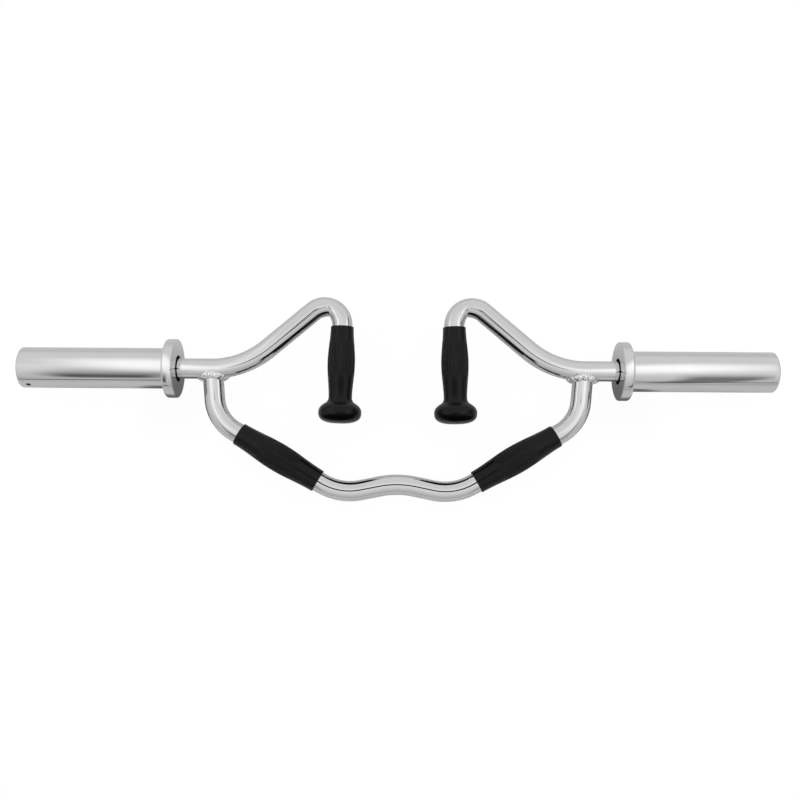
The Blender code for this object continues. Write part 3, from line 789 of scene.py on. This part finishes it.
# Curl grips: sleeves of the same rubber on the curl bar's slopes, fattest in the middle.
CURL_GRIP_LENGTH = 0.114
CURL_GRIP_SETBACK = 0.004
CURL_MOUTH_WALL = 0.0015
CURL_BELLY_WALL = 0.0047
CURL_MOUTH_ROUNDING = 0.8
CURL_FLUTES = 0.030
half = CURL_GRIP_LENGTH / 2
outside = [
    (place, belly(1 - abs(place) / half, CURL_MOUTH_WALL, CURL_BELLY_WALL))
    for place in spaced(MOUTH_EDGE - half, half - MOUTH_EDGE, GRIP_STEP)
]
mouth = BAR_ROOM + CURL_MOUTH_WALL
curl_outline = [(half, BAR_ROOM), (-half, BAR_ROOM), (-half, mouth), *outside, (half, mouth)]
curl_along = Vector((math.cos(CURL_SLOPE), math.sin(CURL_SLOPE), 0))
grip_start = LOW_BEND_RADIUS * math.tan((CURL_SLOPE + HUMP_SLOPE) / 2) + CURL_GRIP_SETBACK
mouth_corners = (2, len(curl_outline) - 1)
for name, side in SIDES.items():
    rounded = [(corner, CURL_MOUTH_WALL * CURL_MOUTH_ROUNDING) for corner in mouth_corners]
    form = turned(curl_outline, GRIP_SIDES, True, rounded)
    cut_flutes(form, -CURL_FLUTES, CURL_FLUTES)
    fitted = Matrix.Translation(low_corner + curl_along * (grip_start + half)) @ turned_to(curl_along)
    bmesh.ops.transform(form, matrix=fitted, verts=form.verts)
    hand_in(form, f"{name}_curl_rubber", side, "frame", rubber, f"{name}_curl_grip")

# Sleeve tubes: 50 mm tube, turned and plated, that the plates slide on. A hole near the outer end
# takes the pin that holds the plug.
SLEEVE_RADIUS = 0.025
SLEEVE_BORE = 0.021
SLEEVE_SEAT = 0.0048
SLEEVE_LOADABLE = 0.1786
COLLAR_THICKNESS = 0.0129
SLEEVE_START = COLLAR_IN + SLEEVE_SEAT
SLEEVE_END = COLLAR_IN + COLLAR_THICKNESS + SLEEVE_LOADABLE
SLEEVE_EDGE = 0.0018
SLEEVE_SIDES = 144
PIN_TURN = {"left": math.radians(62), "right": math.radians(205)}
PIN_FROM_END = 0.0114
PIN_AT = SLEEVE_END - PIN_FROM_END
PIN_HOLE_RADIUS = 0.0028
PIN_HOLE_EDGE = 0.0003
PATCH = 0.0044
PATCH_STEPS = 8

# Turned pieces keep the marks of the tool and the polishing cloth, as fine rings about their axis.
turning, given, result, place, _ = patchy_effect(
    "turning", {"Scale": 22.0, "Detail": 4.0}, {"Middle": "Vector", "Ring Size": "Float"}
)
centred = new_node(turning, "ShaderNodeVectorMath", operation="SUBTRACT")
split = new_node(turning, "ShaderNodeSeparateXYZ")
square_y = new_node(turning, "ShaderNodeMath", operation="MULTIPLY")
square_sum = new_node(turning, "ShaderNodeMath", operation="MULTIPLY_ADD")
radius = new_node(turning, "ShaderNodeMath", operation="SQRT")
rings_at = new_node(turning, "ShaderNodeCombineXYZ")
rings = new_node(turning, "ShaderNodeTexNoise", {"Detail": 3.0, "Roughness": 0.65})
wire(
    turning,
    (place, "Object", centred, 0),
    (given, "Middle", centred, 1),
    (centred, 0, split, 0),
    (split, "Y", square_y, 0),
    (split, "Y", square_y, 1),
    (split, "Z", square_sum, 0),
    (split, "Z", square_sum, 1),
    (square_y, 0, square_sum, 2),
    (square_sum, 0, radius, 0),
    (split, "X", rings_at, "X"),
    (radius, 0, rings_at, "Y"),
    (rings_at, 0, rings, "Vector"),
    (given, "Ring Size", rings, "Scale"),
    (rings, "Fac", result, "Height"),
)
turned_chrome = finish_with(
    "turned_chrome",
    turning,
    {
        "Light": CHROME_LIGHT,
        "Dark": CHROME_DARK,
        "Smooth": 0.02,
        "Dull": 0.05,
        "Middle": BAR_MIDDLE,
        "Ring Size": 900,
    },
    (0.015, 0.0001),
    {"Metallic": 1.0},
)


def open_patch(form, wall):
    """Takes a small square out of a wall, and rounds the opening to the pin's hole."""
    faces = [
        face
        for face in form.faces
        if abs(face.calc_center_median().x - PIN_AT) < PATCH
        and abs(face.calc_center_median().y) < PATCH * wall / SLEEVE_RADIUS
        and abs(face.calc_center_median().z - wall) < PATCH / 2
    ]
    bmesh.ops.delete(form, geom=faces, context="FACES")
    rim = [edge for edge in form.edges if edge.is_boundary and edge.verts[0].co.z > wall - PATCH / 2]
    rim = [edge for edge in rim if edge.verts[0].co.z < wall + PATCH / 2]
    inward = 1 if wall == SLEEVE_BORE else -1
    for radius, depth in ((PIN_HOLE_RADIUS + PIN_HOLE_EDGE, 0), (PIN_HOLE_RADIUS, PIN_HOLE_EDGE)):
        rim = drawn_out(form, rim, Matrix.Identity(4))
        for vert in corners_of(rim):
            spoke = Vector((vert.co.x - PIN_AT, vert.co.y)).normalized() * radius
            height = math.sqrt(wall**2 - spoke.y**2) + inward * depth
            vert.co = (PIN_AT + spoke.x, spoke.y, height)
    return rim


around_pin = spaced(PIN_AT - PATCH, PIN_AT + PATCH, 2 * PATCH / PATCH_STEPS)
along_tube = spaced(SLEEVE_START, PIN_AT - PATCH, STRAIGHT_STEP)[:-1] + around_pin
tube_outline = [(place, SLEEVE_RADIUS) for place in [*along_tube, SLEEVE_END]]
tube_outline += [(place, SLEEVE_BORE) for place in [SLEEVE_END, *reversed(along_tube)]]
for name, side in SIDES.items():
    form = turned(tube_outline, SLEEVE_SIDES, True, [(len(along_tube), SLEEVE_EDGE)])
    outer_rim = open_patch(form, SLEEVE_RADIUS)
    inner_rim = open_patch(form, SLEEVE_BORE)
    bmesh.ops.bridge_loops(form, edges=outer_rim + inner_rim)
    bmesh.ops.rotate(form, matrix=Matrix.Rotation(PIN_TURN[name], 3, "X"), verts=form.verts)
    hand_in(form, f"{name}_sleeve_chrome", side, f"{name}_sleeve", turned_chrome, f"{name}_sleeve_tube")

# Collars: thick turned discs that the plates stop against, let over the sleeves' ends.
COLLAR_RADIUS = 0.03635
COLLAR_OUT = COLLAR_IN + COLLAR_THICKNESS
WEB_THICKNESS = 0.0045
COLLAR_WEB = COLLAR_IN + WEB_THICKNESS
COLLAR_BORE = 0.0164
COLLAR_SEAT = SLEEVE_RADIUS + BAR_FIT
COLLAR_INNER_EDGE = 0.0016
COLLAR_OUTER_EDGE = 0.0025
collar_outline = [
    (COLLAR_IN, COLLAR_BORE),
    (COLLAR_IN, COLLAR_RADIUS),
    (COLLAR_OUT, COLLAR_RADIUS),
    (COLLAR_OUT, COLLAR_SEAT),
    (COLLAR_WEB, COLLAR_SEAT),
    (COLLAR_WEB, COLLAR_BORE),
]
for name, side in SIDES.items():
    form = turned(collar_outline, SLEEVE_SIDES, True, [(1, COLLAR_INNER_EDGE), (2, COLLAR_OUTER_EDGE)])
    hand_in(form, f"{name}_collar_disc", side, f"{name}_sleeve", turned_chrome, f"{name}_collar")

# Collar bushes: black nylon rings pressed into the collars' bores, which run on the bar. Each is let
# in a little below the collar's face, where it shows as a thin black ring round the bar. Its almost
# unreflecting near-black is partly the nylon's own colour, partly painted shade of the gap round the bar.
BUSH_RADIUS = COLLAR_BORE - BAR_FIT
BUSH_RECESS = 0.0002
BUSH_FACE = COLLAR_IN + BUSH_RECESS
BUSH_LENGTH = 0.010
BUSH_EDGE = 0.0004
bush_outline = [
    (BUSH_FACE, BAR_ROOM),
    (BUSH_FACE, BUSH_RADIUS),
    (BUSH_FACE + BUSH_LENGTH, BUSH_RADIUS),
    (BUSH_FACE + BUSH_LENGTH, BAR_ROOM),
]
# Painted shade: this finish is darker and duller than bare black nylon, standing in for the shaded gap.
nylon = finish_with(
    "nylon",
    turning,
    {
        "Light": (0.003, 0.003, 0.003, 1),
        "Dark": (0.001, 0.001, 0.001, 1),
        "Smooth": 0.55,
        "Dull": 0.75,
        "Middle": BAR_MIDDLE,
        "Ring Size": 1500,
    },
    (0.1, 0.0002),
    {"Specular IOR Level": 0.02},
)
for name, side in SIDES.items():
    form = turned(bush_outline, BAR_SIDES, True, [(1, BUSH_EDGE)])
    hand_in(form, f"{name}_bush_ring", side, f"{name}_sleeve", nylon, f"{name}_collar_bush")

# End plugs: turned steel discs that close the sleeves, with the small hole that the lathe's centre
# left in the face, and a cross hole for the pin.
PLUG_RECESS = 0.0010
PLUG_LENGTH = 0.020
PLUG_OUT = SLEEVE_END - PLUG_RECESS
PLUG_IN = PLUG_OUT - PLUG_LENGTH
PLUG_RADIUS = SLEEVE_BORE - BAR_FIT
PLUG_EDGE = 0.0010
CENTRE_RADIUS = 0.0016
CENTRE_DEPTH = 0.0015
PIN_RECESS = 0.0015
PIN_LENGTH = 0.018
PIN_FOOT = SLEEVE_RADIUS - PIN_RECESS - PIN_LENGTH
DRILL_SIDES = 32
plug_outline = [
    (PLUG_OUT - CENTRE_DEPTH, 0),
    (PLUG_OUT, CENTRE_RADIUS),
    (PLUG_OUT, PLUG_RADIUS / 2),
    (PLUG_OUT, PLUG_RADIUS),
    (PLUG_IN, PLUG_RADIUS),
    (PLUG_IN, 0),
]
for name, side in SIDES.items():
    form = turned(plug_outline, BAR_SIDES, False, [(3, PLUG_EDGE)])
    bmesh.ops.rotate(form, matrix=Matrix.Rotation(PIN_TURN[name], 3, "X"), verts=form.verts)
    plug = hand_in(form, f"{name}_plug_disc", side, f"{name}_sleeve", turned_chrome, f"{name}_end_plug")
    form = bmesh.new()
    pin_foot = PIN_FOOT - BAR_FIT
    bmesh.ops.create_cone(
        form,
        cap_ends=True,
        segments=DRILL_SIDES,
        radius1=PIN_HOLE_RADIUS,
        radius2=PIN_HOLE_RADIUS,
        depth=SLEEVE_RADIUS - pin_foot,
        matrix=Matrix.Translation((PIN_AT, 0, (SLEEVE_RADIUS + pin_foot) / 2)),
    )
    bmesh.ops.rotate(form, matrix=Matrix.Rotation(PIN_TURN[name], 3, "X"), verts=form.verts)
    lay_down(form, side)
    drill = new_object("drill", form)
    hole = plug.modifiers.new("pin_hole", "BOOLEAN")
    hole.object = drill
    hole.solver = "EXACT"
    bpy.context.view_layer.update()
    drilled = bpy.data.meshes.new_from_object(plug.evaluated_get(bpy.context.evaluated_depsgraph_get()))
    plug.modifiers.clear()
    plug.data = drilled
    bpy.data.objects.remove(drill)

# Spring pins: rolled from spring steel with a slot down one side, driven in just under the surface.
PIN_RADIUS = 0.0025
PIN_WALL = 0.0010
PIN_SLOT = math.radians(28)
PIN_STEPS = 40
PIN_CHAMFER = 0.0004
pin_top = SLEEVE_RADIUS - PIN_RECESS
pin_outline = [
    (PIN_FOOT, PIN_RADIUS - PIN_WALL),
    (PIN_FOOT, PIN_RADIUS - PIN_CHAMFER),
    (PIN_FOOT + PIN_CHAMFER, PIN_RADIUS),
    (pin_top - PIN_CHAMFER, PIN_RADIUS),
    (pin_top, PIN_RADIUS - PIN_CHAMFER),
    (pin_top, PIN_RADIUS - PIN_WALL),
]
spring_steel = finish_with(
    "spring_steel",
    plating,
    {
        "Light": (0.10, 0.10, 0.11, 1),
        "Dark": (0.05, 0.05, 0.055, 1),
        "Smooth": 0.35,
        "Dull": 0.5,
        "Cloud Size": 300,
        "Grain Size": 2000,
    },
    (0.1, 0.0001),
    {"Metallic": 0.9},
)
for name, side in SIDES.items():
    form = bmesh.new()
    points = [form.verts.new((radius, 0, height)) for height, radius in pin_outline]
    section = [form.edges.new(pair) for pair in zip(points, points[1:] + points[:1])]
    rolled = bmesh.ops.spin(
        form,
        geom=points + section,
        cent=(0, 0, 0),
        axis=(0, 0, 1),
        angle=math.tau - PIN_SLOT,
        steps=PIN_STEPS,
        use_merge=False,
        use_duplicate=False,
    )
    last = [part for part in rolled["geom_last"] if isinstance(part, bmesh.types.BMEdge)]
    bmesh.ops.edgeloop_fill(form, edges=section)
    bmesh.ops.edgeloop_fill(form, edges=last)
    bmesh.ops.translate(form, vec=(PIN_AT, 0, 0), verts=form.verts)
    bmesh.ops.rotate(form, matrix=Matrix.Rotation(PIN_TURN[name], 3, "X"), verts=form.verts)
    hand_in(form, f"{name}_roll_pin", side, f"{name}_sleeve", spring_steel, f"{name}_spring_pin")

# Inside the sleeves: bronze bearings on the turned ends, and the zinc plated washer and bolt that
# keep the sleeve on. They are the frame's own solids, with their finishes.
bronze = finish_with(
    "bronze",
    turning,
    {
        "Light": (0.66, 0.46, 0.24, 1),
        "Dark": (0.52, 0.35, 0.17, 1),
        "Smooth": 0.28,
        "Dull": 0.42,
        "Middle": BAR_MIDDLE,
        "Ring Size": 1200,
    },
    (0.1, 0.0002),
    {"Metallic": 1.0},
)
zinc = finish_with(
    "zinc",
    plating,
    {
        "Light": (0.66, 0.67, 0.68, 1),
        "Dark": (0.52, 0.54, 0.55, 1),
        "Smooth": 0.28,
        "Dull": 0.42,
        "Cloud Size": 120,
        "Grain Size": 1500,
    },
    (0.1, 0.0002),
    {"Metallic": 1.0},
)
looks = {"inner_bearing": bronze, "outer_bearing": bronze, "thrust_washer": zinc, "end_bolt": zinc}
for name in SIDES:
    for kind, look in looks.items():
        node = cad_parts[f"{name}_{kind}"]
        for material_slot in node.material_slots:
            material_slot.material = look
